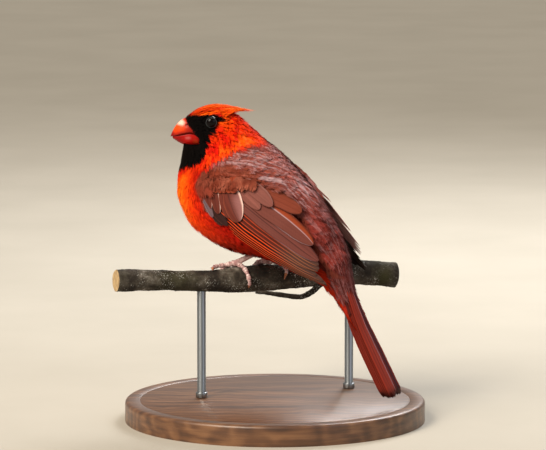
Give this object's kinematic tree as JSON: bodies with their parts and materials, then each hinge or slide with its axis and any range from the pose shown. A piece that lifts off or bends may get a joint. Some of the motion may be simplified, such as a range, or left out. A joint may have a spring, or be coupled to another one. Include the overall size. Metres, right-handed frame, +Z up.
{
  "type": "northern cardinal",
  "caption": "Life-size still model of a male cardinal gripping a cut length of branch, head turned back, held by a round base and steel rods.",
  "frame": {"origin": "centre of the stand base's underside", "axes": "+Z up; +X to the right seen from the front of the stand; the bird's bill points to -X and its tail hangs on the -Y side"},
  "size_m": [0.1787, 0.172, 0.1809],
  "materials": {
    "head_feathers": "short orange-red feathers, black mask and bib",
    "body_feathers": "overlapping body feathers, orange-red below, grey-fringed brown-red above",
    "wing_feathers": "flight feathers and coverts, mauve-brown with red outer edges",
    "tail_feathers": "long dull crimson tail feathers",
    "bill_horn": "smooth orange-red horn",
    "eye_glass": "glossy black-brown",
    "foot_skin": "scaly pinkish-brown skin with horn claws",
    "bark": "grey-olive bark with pale spots",
    "stand_wood": "turned hardwood, satin varnish",
    "stand_steel": "brushed rod"
  },
  "bodies": {
    "root": {"head": "head_feathers", "bill_upper": "bill_horn", "bill_lower": "bill_horn", "eye_left": "eye_glass", "eye_right": "eye_glass", "neck": "head_feathers", "torso": "body_feathers", "wing_left": "wing_feathers", "wing_right": "wing_feathers", "tail": "tail_feathers", "leg_left": "foot_skin", "leg_right": "foot_skin", "perch_branch": "bark", "perch_twig": "bark", "stand_base": "stand_wood", "stand_rod_left": "stand_steel", "stand_rod_right": "stand_steel"}
  },
  "joints": []
}
